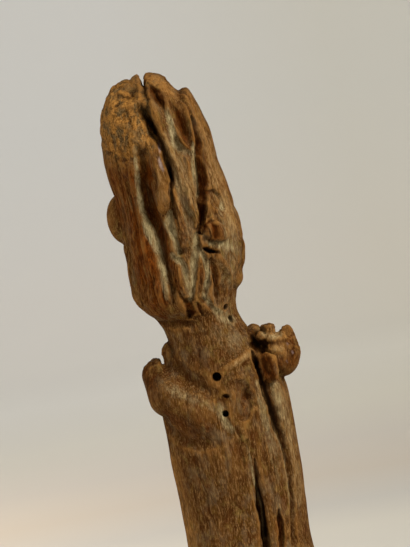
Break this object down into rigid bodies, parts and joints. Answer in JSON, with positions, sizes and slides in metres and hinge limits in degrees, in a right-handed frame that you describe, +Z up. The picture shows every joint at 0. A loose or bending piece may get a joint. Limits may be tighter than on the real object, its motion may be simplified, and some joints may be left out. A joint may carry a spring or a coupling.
{
  "type": "carved wood female figure",
  "caption": "Standing female figure carved from one log, long weathered head, stumps of broken arms, short bent legs on a low round base.",
  "frame": {"origin": "underside of the base, on the axis of the log", "axes": "+Z up along the log from base to crown, +Y the way the face looks, -Y the furrowed back"},
  "size_m": [0.0845, 0.0732, 0.4301],
  "materials": {
    "wood": "weathered, dry and matt, with pale dust in the furrows"
  },
  "bodies": {
    "root": {"figure": "wood"}
  },
  "joints": []
}
